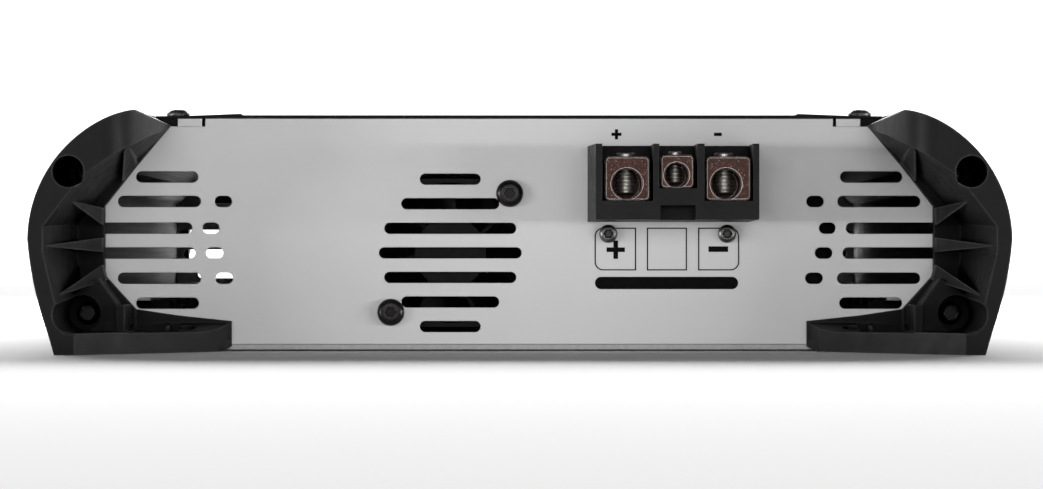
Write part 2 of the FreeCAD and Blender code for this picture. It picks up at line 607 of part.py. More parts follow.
def clamp_tail(clamp, grow):
    """Flat bar that carries the current back through the housing and down to the board."""
    middle = (clamp[0] + clamp[1]) / 2
    x0 = middle - 2.5 - grow
    x1 = middle + 2.5 + grow
    back = -BODY_HALF + TAIL_IN
    bar = box(x0, x1, -BODY_HALF - CLAMP_BACK - 0.5, back, 45.0 - grow, 46.6 + grow)
    return bar.fuse(box(x0, x1, back - 1.6, back, BOARD_Z0 + BOARD_T + 0.02, 46.6))


def clamp_block(clamp):
    x0, x1, z0, z1, hole_x, hole_z, hole_r, screw_r = clamp
    y0 = -BODY_HALF - BLOCK_OUT + 0.8
    y1 = -BODY_HALF - CLAMP_BACK
    block = box(x0, x1, y0, y1, z0, z1)
    block = block.makeFillet(1.2, [e for e in block.Edges if abs(e.Length - (y1 - y0)) < 0.01])
    rim = [e for e in block.Edges if max(abs(v.Point.y - y0) for v in e.Vertexes) < 0.01]
    block = block.makeChamfer(CLAMP_CHAMFER, rim)
    block = block.cut(rod_y(hole_r, hole_x, hole_z, y0 - 1, y1 - 2.5))
    lead = Part.makeCone(hole_r + 0.35, hole_r, 0.5, V(hole_x, y0 - 0.01, hole_z), V(0, 1, 0))
    block = block.cut(lead)
    block = block.cut(rod_z(screw_r + RUN_FIT, hole_x, -BODY_HALF - SCREW_OUT, hole_z, z1 + 1))
    return block.fuse(clamp_tail(clamp, 0.0))


def set_screw(clamp):
    """Slotted set screw with ring threads, screwed down nearly across the wire hole."""
    _, _, _, z1, hole_x, hole_z, hole_r, screw_r = clamp
    y = -BODY_HALF - SCREW_OUT
    low = hole_z - math.sqrt(hole_r ** 2 - screw_r ** 2) + SCREW_DOWN + SCREW_CLEAR
    high = z1 + SCREW_TOP
    screw = rod_z(screw_r, hole_x, y, low, high)
    screw = screw.makeChamfer(0.3, [e for e in screw.Edges if e.Closed])
    pitch = 1.0
    for i in range(int((high - low - 1.4) / pitch)):
        z = low + 0.9 + i * pitch
        groove = Part.makeTorus(screw_r + 0.08, 0.33, V(hole_x, y, z), V(0, 0, 1))
        screw = screw.cut(groove)
    slot = box(hole_x - 4, hole_x + 4, y - 0.5, y + 0.5, high - 1.2, high + 1)
    return screw.cut(slot)


def terminal_screws():
    screw = machine_screw(2.45, 1.7, 1.45, 7.0, 1.45)
    return group([placed(screw, (x, -BODY_HALF - 0.02, TERMINAL_SCREW_Z), (0, -1, 0))
                  for x in TERMINAL_SCREW_XS])


def terminal_bracket():
    """Angle bracket behind the panel that the small screws hold, standing off the board."""
    y = -BODY_HALF + SHEET + 0.1
    plate = box(19.0, 61.0, y, y + 2.0, 27.5, 35.5)
    leg = box(36.0, 44.0, y, y + 2.0, BASE_Z1, 28.0)
    toe = box(36.0, 44.0, y, y + 9.0, BASE_Z1, BASE_Z1 + 1.5)
    bracket = plate.fuse([leg, toe])
    return bracket.cut([rod_y(1.47, x, TERMINAL_SCREW_Z, y - 1, y + 4) for x in TERMINAL_SCREW_XS])


# ---- inside ------------------------------------------------------------------------
INNER_Y = BODY_HALF - SHEET - 0.1    # inner face of the signal end panel, with its clearance
CONTROL_Y = BODY_HALF - 12.3         # front of the control board, with its clearance
BOARD_TOP = BOARD_Z0 + BOARD_T
STANDOFF_XY = [(s * 70.0, y) for s in (-1, 1) for y in (-100.0, 6.0, 112.0)]
CAPS = [(x, y) for x in (-64.0, -42.0) for y in (-88.0, -66.0, -44.0, -22.0)]
TOROIDS = [(24.0, -72.0), (24.0, -14.0)]
INDUCTORS = [(-52.0, 40.0), (-16.0, 40.0)]


def circuit_board():
    board = box(-BOARD_X, BOARD_X, BOARD_Y[0], BOARD_Y[1], BOARD_Z0, BOARD_TOP)
    holes = [rod_z(1.7, x, y, BOARD_Z0 - 1, BOARD_TOP + 1) for x, y in STANDOFF_XY]
    return board.cut(holes)


def board_standoffs():
    posts = []
    for x, y in STANDOFF_XY:
        post = rod_z(3.0, x, y, BASE_Z1, BOARD_Z0)
        posts.append(post.cut(rod_z(1.47, x, y, BOARD_Z0 - 5.0, BOARD_Z0 + 1)))
    return group(posts)


def board_screws():
    screw = machine_screw(2.8, 1.8, 1.45, 5.5, 1.2)
    return group([placed(screw, (x, y, BOARD_TOP + 0.02), (0, 0, 1)) for x, y in STANDOFF_XY])


def filter_capacitors():
    """Electrolytic cans with a rolled neck and a scored top."""
    cans = []
    for x, y in CAPS:
        can = rod_z(9.0, x, y, BOARD_TOP + 0.05, 51.0)
        can = can.makeFillet(1.0, [e for e in can.Edges if e.Closed])
        can = can.cut(Part.makeTorus(9.4, 0.9, V(x, y, BOARD_TOP + 4.0), V(0, 0, 1)))
        scores = [box(x - 6, x + 6, y - 0.3, y + 0.3, 50.7, 52),
                  box(x - 0.3, x + 0.3, y - 6, y + 6, 50.7, 52)]
        cans.append(can.cut(scores))
    return group(cans)


def transformer_cores():
    cores = []
    for x, y in TOROIDS:
        ring = rod_z(20.0, x, y, BOARD_TOP + 5.0, BOARD_TOP + 21.0)
        cores.append(ring.cut(rod_z(12.0, x, y, BOARD_TOP, BOARD_TOP + 30.0)))
    return group(cores)


def wound_ring(x, y, inner, outer, low, high, turns, wire):
    """Copper turns round a ring core: one closed loop of wire per turn."""
    loops = []
    for i in range(turns):
        loop = box(inner - wire, outer + wire, -wire / 2, wire / 2, low - wire, high + wire)
        loop = loop.cut(box(inner, outer, -wire, wire, low, high))
        corners = [e for e in loop.Edges if abs(e.Length - wire) < 0.01
                   and (e.Vertexes[0].X > outer or e.Vertexes[0].X < inner)]
        loop = loop.makeFillet(wire * 0.45, corners)
        loop.rotate(V(0, 0, 0), V(0, 0, 1), 360.0 / turns * i)
        loop.translate(V(x, y, 0))
        loops.append(loop)
    return loops


def transformer_windings():
    loops = []
    for x, y in TOROIDS:
        loops += wound_ring(x, y, 11.9, 20.1, BOARD_TOP + 4.9, BOARD_TOP + 21.1, 22, 2.4)
    return group(loops)


def inductor_cores():
    cores = []
    for x, y in INDUCTORS:
        ring = rod_z(14.0, x, y, BOARD_TOP + 4.0, BOARD_TOP + 14.0)
        cores.append(ring.cut(rod_z(7.6, x, y, BOARD_TOP, BOARD_TOP + 30.0)))
    return group(cores)


def inductor_windings():
    loops = []
    for x, y in INDUCTORS:
        loops += wound_ring(x, y, 7.5, 14.1, BOARD_TOP + 3.9, BOARD_TOP + 14.1, 16, 2.0)
    return group(loops)


def transistors():
    """Packages lying flat on the right heat sink's low shelf."""
    parts = []
    for y in TRANSISTOR_YS:
        body = box(97.4, 111.0, y - 7.5, y + 7.5, SHELF_Z + 0.05, 13.2)
        legs = [box(94.0, 97.6, y + dy - 0.6, y + dy + 0.6, 11.2, 11.8) for dy in (-5.0, 0.0, 5.0)]
        parts.append(body.fuse(legs))
    return group(parts)


def clamp_bar():
    bar = box(CLAMP_X - 4.0, CLAMP_X + 4.0, -110.0, 110.0, 13.25, 15.3)
    return bar.cut([rod_z(1.6, CLAMP_X, y, 12, 16) for y in CLAMP_SCREW_YS])


def clamp_screws():
    """Screws between the transistors, down into both shelves."""
    screw = machine_screw(2.7, 1.8, 1.4, 8.6, 1.2)
    return group(both_sides([placed(screw, (CLAMP_X, y, 15.32), (0, 0, 1)) for y in CLAMP_SCREW_YS]))


def control_board():
    """Upright board behind the signal end: it carries the controls and crosses the whole width."""
    y = CONTROL_Y - 0.1
    top_strip = box(-106.0, 108.0, y - 1.6, y, 43.4, 50.2)
    body = box(-68.0, 72.0, y - 1.6, y, 12.0, 34.0)
    right_wing = box(36.0, 108.0, y - 1.6, y, 12.0, 44.0)
    tails = [flip_y(clamp_tail(clamp, 0.4)) for clamp in SPEAKER_CLAMPS.values()]
    return body.fuse([top_strip, right_wing]).cut(tails).removeSplitter()


# ---- signal end --------------------------------------------------------------------
def rca_housing():
    """Black carrier of the four input and output sockets."""
    body = box(35.5, 68.5, CONTROL_Y, INNER_Y, 11.0, 45.0)
    collars = []
    bores = []
    for x in RCA_XS:
        for z in RCA_ZS:
            collars.append(rod_y(5.4, x, z, INNER_Y - 1, BODY_HALF + 1.0))
            bores.append(rod_y(2.95, x, z, CONTROL_Y + 2.0, BODY_HALF + 2))
    return body.fuse(collars).cut(bores)


def rca_sockets():
    """Plated barrels with an insulated centre contact bore."""
    barrels = []
    for x in RCA_XS:
        for z in RCA_ZS:
            barrel = rod_y(RCA_R, x, z, BODY_HALF + 1.05, BODY_HALF + 10.0)
            barrel = barrel.fuse(rod_y(2.9, x, z, CONTROL_Y + 2.1, BODY_HALF + 2.0))
            barrel = barrel.cut(rod_y(1.8, x, z, BODY_HALF + 1.5, BODY_HALF + 12.0))
            barrels.append(barrel)
    return group(barrels)


def pot_bodies():
    """Potentiometers on the control board; their bushes stop behind the panel."""
    parts = []
    for x in KNOB_XS.values():
        body = box(x - 5.5, x + 5.5, CONTROL_Y, CONTROL_Y + 6.0, KNOB_Z - 6.0, KNOB_Z + 6.0)
        bush = rod_y(3.2, x, KNOB_Z, CONTROL_Y + 5.5, INNER_Y)
        body = body.fuse(bush)
        parts.append(body.cut(rod_y(1.5 + RUN_FIT, x, KNOB_Z, CONTROL_Y + 2.0, BODY_HALF)))
    return group(parts)


def knob(x):
    """Fluted knob with a pointer groove, on its own spindle."""
    grip = rod_y(KNOB_R, x, KNOB_Z, BODY_HALF + 0.4, BODY_HALF + 9.0)
    rim = [e for e in grip.Edges if e.Closed and e.CenterOfMass.y > BODY_HALF + 5]
    grip = grip.makeChamfer(0.6, rim)
    flutes = []
    for i in range(16):
        flute = rod_y(0.55, x + KNOB_R + 0.1, KNOB_Z, BODY_HALF + 1.6, BODY_HALF + 10.0)
        flute.rotate(V(x, 0, KNOB_Z), V(0, 1, 0), 360.0 / 16 * i + 11.25)
        flutes.append(flute)
    flutes.append(box(x - 0.4, x + 0.4, BODY_HALF + 8.4, BODY_HALF + 10.0, KNOB_Z + 0.6, KNOB_Z + 6.0))
    spindle = rod_y(1.5, x, KNOB_Z, CONTROL_Y + 2.3, BODY_HALF + 1.0)
    return grip.cut(flutes).fuse(spindle)


def switch_body():
    body = box(SWITCH_X - 7.5, SWITCH_X + 7.5, CONTROL_Y, INNER_Y, KNOB_Z - 4.0, KNOB_Z + 4.0)
    return body.cut(box(SWITCH_X - 5.2, SWITCH_X + 5.2, CONTROL_Y + 4.0, BODY_HALF,
                        KNOB_Z - 2.2, KNOB_Z + 2.2))


def switch_slider():
    """Ridged lever at the left end of its travel."""
    x = SWITCH_X - SWITCH_TRAVEL / 2
    stem = box(x - 1.8, x + 1.8, CONTROL_Y + 5.0, BODY_HALF + 2.6, KNOB_Z - 1.8, KNOB_Z + 1.8)
    shoe = box(x - 2.8, x + 2.8, CONTROL_Y + 4.4, CONTROL_Y + 7.0, KNOB_Z - 1.8, KNOB_Z + 1.8)
    grooves = []
    for i in range(3):
        x0 = x - 1.0 + i * 0.9
        grooves.append(box(x0, x0 + 0.3, BODY_HALF + 2.1, BODY_HALF + 3, KNOB_Z - 2, KNOB_Z + 2))
    return stem.fuse(shoe).cut(grooves)


def remote_port():
    """Socket for the remote level control."""
    body = box(SWITCH_X - 7.0, SWITCH_X + 7.0, CONTROL_Y, BODY_HALF + 0.6, 37.2, 50.2)
    mouth = box(SWITCH_X - 4.8, SWITCH_X + 4.8, CONTROL_Y + 2.0, BODY_HALF + 1, 39.4, 46.6)
    key = box(SWITCH_X - 2.2, SWITCH_X + 2.2, CONTROL_Y + 2.0, BODY_HALF + 1, 46.5, 48.4)
    return body.cut([mouth, key])


def indicator_lenses():
    lenses = []
    for x in LED_XS:
        rim = rod_y(2.4, x, LED_Z, CONTROL_Y + 4.0, INNER_Y)
        stem = rod_y(1.6, x, LED_Z, INNER_Y - 1.0, BODY_HALF + 0.3)
        dome = Part.makeSphere(1.6, V(x, BODY_HALF + 0.3, LED_Z))
        lenses.append(rim.fuse([stem, dome]))
    return group(lenses)


def indicator_board():
    """Small board that carries the two indicators above the controls."""
    return box(-24.0, 2.0, CONTROL_Y + 2.2, CONTROL_Y + 3.9, 38.0, 50.0)


# ---- all the pieces ----------------------------------------------------------------
def main():
    guard = corner_guard()
    sink = heat_sink()
    parts = {
        "base_plate": base_plate(),
        "power_end_panel": power_end_panel(),
        "signal_end_panel": signal_end_panel(),
        "left_heat_sink": flip_x(sink),
        "right_heat_sink": sink,
        "top_cover": top_cover(),
        "front_left_corner_guard": flip_x(guard),
        "front_right_corner_guard": guard,
        "rear_left_corner_guard": flip_y(flip_x(guard)),
        "rear_right_corner_guard": flip_y(guard),
        "corner_guard_screws": guard_screws(),
        "cover_screws": cover_screws(),
        "base_screws": base_screws(),
        "fan_frame": fan_frame(),
        "fan_bearing": fan_bearing(),
        "fan_stator": fan_stator(),
        "fan_rotor": fan_rotor(),
        "fan_screws": fan_screws(),
        "power_terminal_housing": terminal_housing(POWER_WALLS, POWER_CLAMPS, POWER_SKEW, (37.0, 46.3)),
        "speaker_terminal_housing": flip_y(
            terminal_housing(SPEAKER_WALLS, SPEAKER_CLAMPS, (-0.8, 0.8), None)),
        "terminal_screws": terminal_screws(),
        "terminal_bracket": terminal_bracket(),
        "circuit_board": circuit_board(),
        "board_standoffs": board_standoffs(),
        "board_screws": board_screws(),
        "filter_capacitors": filter_capacitors(),
        "transformer_cores": transformer_cores(),
        "transformer_windings": transformer_windings(),
        "inductor_cores": inductor_cores(),
        "inductor_windings": inductor_windings(),
        "left_transistors": flip_x(transistors()),
        "right_transistors": transistors(),
        "left_clamp_bar": flip_x(clamp_bar()),
        "right_clamp_bar": clamp_bar(),
        "clamp_screws": clamp_screws(),
        "control_board": control_board(),
        "rca_housing": rca_housing(),
        "rca_sockets": rca_sockets(),
        "pot_bodies": pot_bodies(),
        "switch_body": switch_body(),
        "switch_slider": switch_slider(),
        "remote_port": remote_port(),
        "indicator_lenses": indicator_lenses(),
        "indicator_board": indicator_board(),
    }
    for name, clamp in POWER_CLAMPS.items():
        parts[name + "_clamp"] = clamp_block(clamp)
        parts[name + "_set_screw"] = set_screw(clamp)
    for name, clamp in SPEAKER_CLAMPS.items():
        parts[name + "_clamp"] = flip_y(clamp_block(clamp))
        parts[name + "_set_screw"] = flip_y(set_screw(clamp))
    for name, x in KNOB_XS.items():
        parts[name] = knob(x)
    os.makedirs("parts", exist_ok=True)
    for name, shape in parts.items():
        print(name, len(shape.Solids), "solids", "valid" if shape.isValid() else "INVALID",
              round(shape.Volume / 1000, 2), "cm3")
        shape.exportStep("parts/" + name + ".step")


main()
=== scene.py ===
"""Looks of the car amplifier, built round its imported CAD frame.  Metres, in the frame's own axes."""
import bpy
import json
import math
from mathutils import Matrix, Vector


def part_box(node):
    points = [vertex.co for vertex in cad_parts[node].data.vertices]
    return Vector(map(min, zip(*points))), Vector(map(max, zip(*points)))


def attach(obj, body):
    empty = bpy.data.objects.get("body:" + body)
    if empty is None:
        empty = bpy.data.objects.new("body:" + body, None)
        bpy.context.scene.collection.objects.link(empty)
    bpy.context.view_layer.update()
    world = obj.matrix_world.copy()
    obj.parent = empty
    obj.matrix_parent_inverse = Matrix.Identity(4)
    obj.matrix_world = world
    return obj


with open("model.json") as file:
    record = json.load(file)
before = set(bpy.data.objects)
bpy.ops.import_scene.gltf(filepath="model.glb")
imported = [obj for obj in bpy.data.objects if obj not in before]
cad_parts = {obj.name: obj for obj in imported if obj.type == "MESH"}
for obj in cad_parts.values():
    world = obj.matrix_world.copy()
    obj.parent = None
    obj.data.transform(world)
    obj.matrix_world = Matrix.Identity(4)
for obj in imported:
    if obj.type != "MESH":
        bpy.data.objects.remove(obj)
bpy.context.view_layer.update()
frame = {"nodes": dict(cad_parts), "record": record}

MM = 0.001
nodes = frame["nodes"]
POWER_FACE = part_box("power_end_panel")[0].y    # outer face of the panel at the power end


# ---- shader helpers ----------------------------------------------------------------
class Shader:
    """One node material: a Principled surface and short calls that add its detail."""

    def __init__(self, name, **sockets):
        self.material = bpy.data.materials.new(name)
        self.material.use_nodes = True
        self.tree = self.material.node_tree
        self.surface = self.tree.nodes["Principled BSDF"]
        self.coords = self.add("ShaderNodeTexCoord").outputs["Object"]
        for socket, value in sockets.items():
            self.surface.inputs[socket.replace("_", " ")].default_value = value

    def add(self, kind, **settings):
        node = self.tree.nodes.new(kind)
        for key, value in settings.items():
            setattr(node, key, value)
        return node

    def link(self, out, socket):
        self.tree.links.new(out, socket)

    def stretched(self, scale):
        """The object's coordinates, scaled by a number for each axis."""
        mapping = self.add("ShaderNodeMapping")
        mapping.inputs["Scale"].default_value = scale
        self.link(self.coords, mapping.inputs["Vector"])
        return mapping.outputs["Vector"]

    def noise(self, scale, detail=3.0, rough=0.5, stretch=None):
        node = self.add("ShaderNodeTexNoise")
        node.inputs["Scale"].default_value = scale
        node.inputs["Detail"].default_value = detail
        node.inputs["Roughness"].default_value = rough
        self.link(self.stretched(stretch) if stretch else self.coords, node.inputs["Vector"])
        return node.outputs["Fac"]

    def ramp(self, value, *stops):
        """Values or colours at places from 0 to 1 along the input."""
        node = self.add("ShaderNodeValToRGB")
        points = node.color_ramp.elements
        while len(points) < len(stops):
            points.new(0.5)
        for point, (place, colour) in zip(points, stops):
            point.position = place
            if not isinstance(colour, tuple):
                colour = (colour,) * 3
            point.color = (*colour, 1.0)
        self.link(value, node.inputs["Fac"])
        return node.outputs["Color"]

    def mix(self, factor, a, b, blend="MIX"):
        node = self.add("ShaderNodeMix", data_type="RGBA", blend_type=blend)
        for socket, value in ((node.inputs["Factor"], factor), (node.inputs[6], a), (node.inputs[7], b)):
            if isinstance(value, (int, float)):
                socket.default_value = value
            elif isinstance(value, tuple):
                socket.default_value = (*value, 1.0)
            else:
                self.link(value, socket)
        return node.outputs[2]

    def math(self, operation, a, b=0.0):
        node = self.add("ShaderNodeMath", operation=operation)
        for socket, value in zip(node.inputs, (a, b)):
            if isinstance(value, (int, float)):
                socket.default_value = value
            else:
                self.link(value, socket)
        return node.outputs["Value"]

    def axis(self, output, name):
        """One component of the object's coordinates or of the true normal."""
        split = self.add("ShaderNodeSeparateXYZ")
        source = self.coords
        if output == "normal":
            source = self.add("ShaderNodeNewGeometry").outputs["True Normal"]
        self.link(source, split.inputs["Vector"])
        return split.outputs[name]

    def edges(self, radius, low, high):
        """A mask that is 1 along outer edges, where the rounded normal leaves the flat one; it places the
        highlights painted along edges.
        """
        bevel = self.add("ShaderNodeBevel", samples=4)
        bevel.inputs["Radius"].default_value = radius
        flat = self.add("ShaderNodeNewGeometry").outputs["True Normal"]
        dot = self.add("ShaderNodeVectorMath", operation="DOT_PRODUCT")
        self.link(bevel.outputs["Normal"], dot.inputs[0])
        self.link(flat, dot.inputs[1])
        return self.ramp(dot.outputs["Value"], (low, 1.0), (high, 0.0))

    def painted_shade_mask(self, distance, low, high):
        """A mask for painted shade: 0 in holes and corners, where dark colour is painted in as shade, and 1
        on open surfaces.
        """
        shade = self.add("ShaderNodeAmbientOcclusion", samples=6)
        shade.inputs["Distance"].default_value = distance
        return self.ramp(shade.outputs["AO"], (low, 0.0), (high, 1.0))

    def colour(self, output):
        self.link(output, self.surface.inputs["Base Color"])

    def roughness(self, output):
        self.link(output, self.surface.inputs["Roughness"])

    def bump(self, height, strength, distance, edge=None):
        """Surface relief; edge rounds the look of sharp corners over that radius."""
        node = self.add("ShaderNodeBump")
        node.inputs["Strength"].default_value = strength
        node.inputs["Distance"].default_value = distance
        self.link(height, node.inputs["Height"])
        if edge:
            bevel = self.add("ShaderNodeBevel", samples=4)
            bevel.inputs["Radius"].default_value = edge
            self.link(bevel.outputs["Normal"], node.inputs["Normal"])
        self.link(node.outputs["Normal"], self.surface.inputs["Normal"])


# ---- materials ---------------------------------------------------------------------
def guard_plastic():
    """Matt black moulding with a fine spark-eroded grain; a paler colour is painted along its sharp edges as
    a highlight, and shade is painted darker into its pockets and corners.
    """
    s = Shader("guard_plastic", Specular_IOR_Level=0.10)
    cloud = s.noise(35.0, 4.0, 0.6)
    tone = s.ramp(cloud, (0.3, (0.0065, 0.0065, 0.0067)), (0.7, (0.0095, 0.0095, 0.0097)))
    # painted highlight: pale grey laid along the sharp edges, where light would catch them
    tone = s.mix(s.edges(0.0007, 0.90, 0.995), tone, (0.046, 0.046, 0.046))
    # painted shade: near-black mixed into the pockets, holes and corners by the shade mask
    s.colour(s.mix(s.painted_shade_mask(0.014, 0.30, 0.80), (0.0015, 0.0015, 0.0015), tone))
    grain = s.noise(2600.0, 2.0, 0.6)
    s.roughness(s.ramp(s.noise(180.0, 5.0, 0.65), (0.3, 0.44), (0.75, 0.58)))
    s.bump(grain, 0.25, 0.00006, edge=0.0004)
    return s.material


def panel_paint():
    """Satin silver lacquer on sheet steel: fine metallic fleck and a very slight ripple."""
    s = Shader("panel_paint", Metallic=0.25, Specular_IOR_Level=0.4)
    fleck = s.noise(5200.0, 2.0, 0.7)
    haze = s.noise(14.0, 3.0, 0.5)
    base = s.ramp(haze, (0.3, (0.600, 0.600, 0.601)), (0.7, (0.608, 0.608, 0.609)))
    s.colour(s.mix(0.05, base, s.ramp(fleck, (0.35, 0.40), (0.65, 0.60))))
    s.roughness(s.ramp(s.noise(240.0, 4.0, 0.6), (0.3, 0.45), (0.7, 0.49)))
    s.bump(fleck, 0.04, 0.00002, edge=0.0003)
    return s.material


def cover_paint():
    """Black powder coat with orange-peel texture."""
    s = Shader("cover_paint", Specular_IOR_Level=0.06)
    s.colour(s.ramp(s.noise(60.0, 4.0, 0.6), (0.3, (0.006, 0.006, 0.0065)), (0.7, (0.010, 0.010, 0.0105))))
    s.roughness(s.ramp(s.noise(420.0, 4.0, 0.6), (0.3, 0.34), (0.7, 0.50)))
    s.bump(s.noise(1500.0, 2.0, 0.5), 0.35, 0.00008)
    return s.material


def drawn_aluminium(name, dark, light, rough):
    """Extruded aluminium: die lines along Y with a dull oxide between them."""
    s = Shader(name, Metallic=0.6)
    lines = s.noise(900.0, 3.0, 0.6, stretch=(1.0, 0.012, 1.0))
    oxide = s.noise(28.0, 5.0, 0.6, stretch=(1.0, 0.35, 1.0))
    tone = s.ramp(s.mix(0.45, lines, oxide), (0.35, dark), (0.65, light))
    s.colour(tone)
    s.roughness(s.ramp(oxide, (0.3, rough), (0.7, rough + 0.14)))
    s.bump(lines, 0.3, 0.00005, edge=0.00025)
    return s.material


def steel(name, dark, light, rough, metallic=1.0, rim_highlight=None, depth=0.003):
    """Metal with fine tool marks and worn patches; shade is painted darker into its recesses, and an optional
    highlight colour is painted along its edges.
    """
    s = Shader(name, Metallic=metallic)
    marks = s.noise(1900.0, 4.0, 0.6)
    wear = s.noise(320.0, 4.0, 0.6)
    tone = s.ramp(wear, (0.3, dark), (0.72, light))
    # painted highlight: a pale colour along the edges of the heads, standing in for light caught there
    if rim_highlight:
        tone = s.mix(s.edges(0.0003, 0.90, 0.985), tone, rim_highlight)
    # painted shade: near-black mixed into sockets and recesses, where shade falls
    s.colour(s.mix(s.painted_shade_mask(depth, 0.45, 0.85), (0.003, 0.003, 0.003), tone))
    s.roughness(s.ramp(marks, (0.3, rough), (0.7, rough + 0.18)))
    s.bump(marks, 0.25, 0.00003, edge=0.0002)
    return s.material


def terminal_brass():
    """Wire clamp: dull red-brown plating, speckled, with a bright highlight painted along its edges."""
    s = Shader("terminal_brass", Metallic=0.55)
    mottle = s.noise(800.0, 6.0, 0.72)
    tone = s.ramp(mottle, (0.32, (0.014, 0.0038, 0.0026)), (0.52, (0.037, 0.0105, 0.0072)),
                  (0.74, (0.10, 0.034, 0.023)))
    speck = s.ramp(s.noise(2400.0, 2.0, 0.6), (0.64, 0.0), (0.72, 0.7))
    tone = s.mix(speck, tone, (0.50, 0.36, 0.30))
    # painted highlight: pale metal colour laid along the edges, where light would catch them
    s.colour(s.mix(s.edges(0.0003, 0.90, 0.985), tone, (0.95, 0.86, 0.80)))
    s.roughness(s.ramp(mottle, (0.3, 0.34), (0.7, 0.56)))
    s.bump(mottle, 0.35, 0.00006)
    return s.material


def moulded_black(name, tone, rough):
    """Glass-filled black moulding of the terminal block, sockets and knobs; shade is painted darker into its
    hollows and corners.
    """
    s = Shader(name, Specular_IOR_Level=0.10)
    flow = s.noise(110.0, 4.0, 0.6)
    surface = s.ramp(flow, (0.3, (tone, tone, tone)), (0.7, (tone * 1.5, tone * 1.5, tone * 1.55)))
    # painted shade: near-black mixed into hollows and corners by the shade mask
    s.colour(s.mix(s.painted_shade_mask(0.006, 0.35, 0.85), (0.001, 0.001, 0.001), surface))
    s.roughness(s.ramp(s.noise(500.0, 4.0, 0.6), (0.3, rough), (0.7, rough + 0.16)))
    s.bump(s.noise(3200.0, 2.0, 0.6), 0.2, 0.00004, edge=0.0003)
    return s.material


def solder_mask():
    """Green board: tracks show as slightly raised paler lines under the mask."""
    s = Shader("solder_mask", Specular_IOR_Level=0.55, Coat_Weight=0.3)
    brick = s.add("ShaderNodeTexBrick")
    brick.inputs["Scale"].default_value = 60.0
    brick.inputs["Mortar Size"].default_value = 0.03
    s.link(s.coords, brick.inputs["Vector"])
    tracks = s.ramp(brick.outputs["Fac"], (0.4, 0.0), (0.6, 1.0))
    s.colour(s.mix(tracks, (0.003, 0.014, 0.008), (0.009, 0.034, 0.018)))
    s.roughness(s.ramp(s.noise(300.0), (0.3, 0.28), (0.7, 0.42)))
    s.bump(tracks, 0.3, 0.00006)
    return s.material


def enamelled_wire():
    s = Shader("enamelled_wire", Metallic=0.7, Coat_Weight=0.5, Coat_Roughness=0.15)
    s.colour(s.ramp(s.noise(260.0, 4.0), (0.3, (0.36, 0.12, 0.045)), (0.7, (0.62, 0.26, 0.11))))
    s.roughness(s.ramp(s.noise(900.0), (0.3, 0.22), (0.7, 0.40)))
    s.bump(s.noise(1400.0), 0.2, 0.00003)
    return s.material


def ferrite():
    s = Shader("ferrite", Specular_IOR_Level=0.4)
    s.colour(s.ramp(s.noise(700.0, 5.0, 0.7), (0.3, (0.030, 0.034, 0.036)), (0.7, (0.065, 0.070, 0.072))))
    s.roughness(s.ramp(s.noise(1400.0), (0.3, 0.62), (0.7, 0.82)))
    s.bump(s.noise(1800.0, 4.0), 0.5, 0.0001)
    return s.material


def capacitor_can():
    """Dark printed sleeve below, bare scored aluminium on the flat top."""
    s = Shader("capacitor_can", Coat_Weight=0.3)
    up = s.ramp(s.axis("normal", "Z"), (0.85, 0.0), (0.92, 1.0))
    sleeve = s.ramp(s.noise(90.0), (0.3, (0.012, 0.012, 0.018)), (0.7, (0.022, 0.022, 0.032)))
    s.colour(s.mix(up, sleeve, (0.62, 0.62, 0.63)))
    s.link(up, s.surface.inputs["Metallic"])
    s.roughness(s.ramp(s.noise(600.0), (0.3, 0.28), (0.7, 0.42)))
    s.bump(s.noise(1600.0), 0.15, 0.00003)
    return s.material


def lens_plastic():
    s = Shader("lens_plastic", Transmission_Weight=0.55, IOR=1.49)
    s.colour(s.ramp(s.axis("place", "X"), (0.0, (0.05, 0.22, 0.85)), (1.0, (0.10, 0.32, 0.90))))
    s.roughness(s.ramp(s.noise(500.0), (0.3, 0.12), (0.7, 0.22)))
    s.bump(s.noise(700.0), 0.1, 0.00004)
    return s.material


def print_ink():
    """Black screen print: slightly uneven film, duller than the paint under it."""
    s = Shader("print_ink", Specular_IOR_Level=0.05)
    s.colour(s.ramp(s.noise(900.0, 4.0), (0.3, (0.0015, 0.0015, 0.0015)), (0.7, (0.004, 0.004, 0.004))))
    s.roughness(s.ramp(s.noise(1400.0), (0.3, 0.50), (0.7, 0.66)))
    s.bump(s.noise(3000.0), 0.2, 0.00002)
    return s.material


